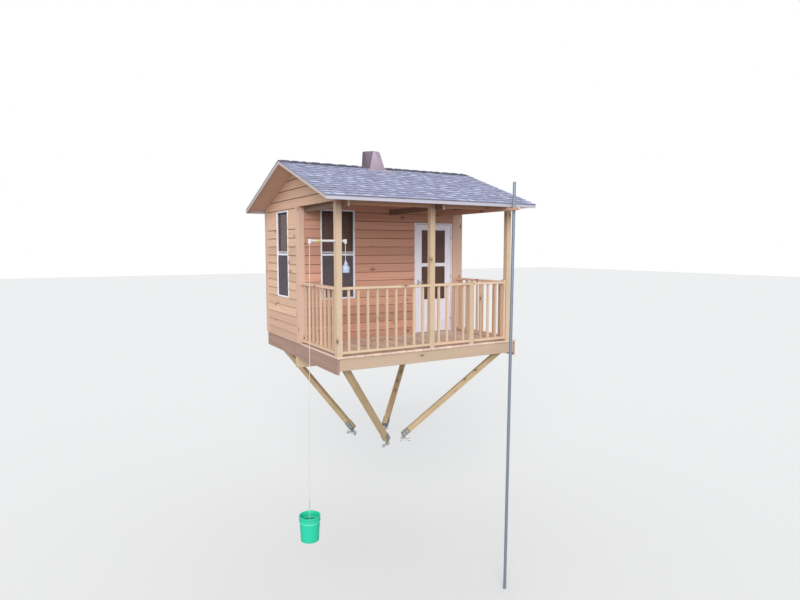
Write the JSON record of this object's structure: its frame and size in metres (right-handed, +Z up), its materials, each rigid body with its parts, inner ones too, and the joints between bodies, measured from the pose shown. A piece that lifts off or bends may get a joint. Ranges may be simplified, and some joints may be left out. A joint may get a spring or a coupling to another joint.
{
  "type": "tree house",
  "caption": "Tree house with a gabled cabin, covered porch with railings and gate, knee braces on tree bolts, slide pole and a hoisted bucket.",
  "frame": {"origin": "middle of the trunk plate's face, on the front side of the main beam, where it rests on the trunk", "axes": "+X along the porch front to the right as seen from the porch side, +Y back from the porch into the cabin, +Z up"},
  "size_m": [3.947, 4.073, 7.27],
  "materials": {
    "cedar_siding": "lapped cedar siding, clear, matt",
    "trim_boards": "sawn cedar boards, matt",
    "treated_timber": "planed treated pine, matt",
    "deck_boards": "planed deck boards, matt",
    "frame_timber": "sawn treated pine",
    "brace_timber": "sawn treated pine, greenish",
    "galvanised_steel": "galvanised, dull",
    "pole_steel": "galvanised tube, dull",
    "shingles": "mineral-faced asphalt shingles",
    "white_paint": "white enamel, satin",
    "window_frame": "white vinyl, satin",
    "clear_glass": "clear sheet glass",
    "white_pipe": "plastic pipe",
    "rope": "braided rope",
    "green_plastic": "moulded plastic",
    "steel_wire": "bent wire",
    "blue_plastic": "blow-moulded plastic"
  },
  "bodies": {
    "tree_house": {"left_rim": "trim_boards", "right_rim": "trim_boards", "front_rim": "trim_boards", "rear_rim": "trim_boards", "floor_joists": "frame_timber", "trunk_headers": "frame_timber", "main_beam": "frame_timber", "trunk_plate": "galvanised_steel", "brace_front_left": "brace_timber", "brace_front_right": "brace_timber", "brace_rear_left": "brace_timber", "brace_rear_right": "brace_timber", "brace_shoes": "galvanised_steel", "deck_front": "deck_boards", "deck_rear": "deck_boards", "deck_beside_trunk": "deck_boards", "post_left": "treated_timber", "post_middle": "treated_timber", "post_right": "treated_timber", "gate_post": "treated_timber", "porch_beam": "treated_timber", "roof_ties": "treated_timber", "pole_arm": "treated_timber", "slide_pole": "pole_steel", "pole_strap": "galvanised_steel", "front_railing_left": "treated_timber", "front_railing_middle": "treated_timber", "left_railing": "treated_timber", "right_railing": "treated_timber", "left_wall": "cedar_siding", "right_wall": "cedar_siding", "front_wall": "cedar_siding", "wall_over_door": "cedar_siding", "wall_beside_door": "cedar_siding", "rear_wall": "cedar_siding", "porch_gables": "cedar_siding", "corner_boards": "trim_boards", "front_window": "window_frame", "left_window": "window_frame", "window_glass": "clear_glass", "door_frame": "white_paint", "front_rafters": "frame_timber", "rear_rafters": "frame_timber", "ridge_board": "frame_timber", "roof_front": "shingles", "roof_rear": "shingles", "fascia_boards": "trim_boards", "ridge_cap": "shingles", "trunk_flashing": "galvanised_steel", "hoist_pipe": "white_pipe", "bucket_rope": "rope", "jug_rope": "rope", "bucket": "green_plastic", "bucket_bail": "steel_wire", "jug": "blue_plastic"},
    "door": {"storm_door": "white_paint", "door_glass": "clear_glass"},
    "gate": {"rail_gate": "treated_timber"}
  },
  "joints": [
    {"name": "door_hinge", "type": "hinge", "parent": "tree_house", "child": "door", "pos_m": [1.6645, -0.1693, 0.357], "axis": [0, 0, 1], "range_deg": [0, 90]},
    {"name": "gate_hinge", "type": "hinge", "parent": "tree_house", "child": "gate", "pos_m": [1.111, -1.566, 0.357], "axis": [0, 0, 1], "range_deg": [0, 90]}
  ]
}
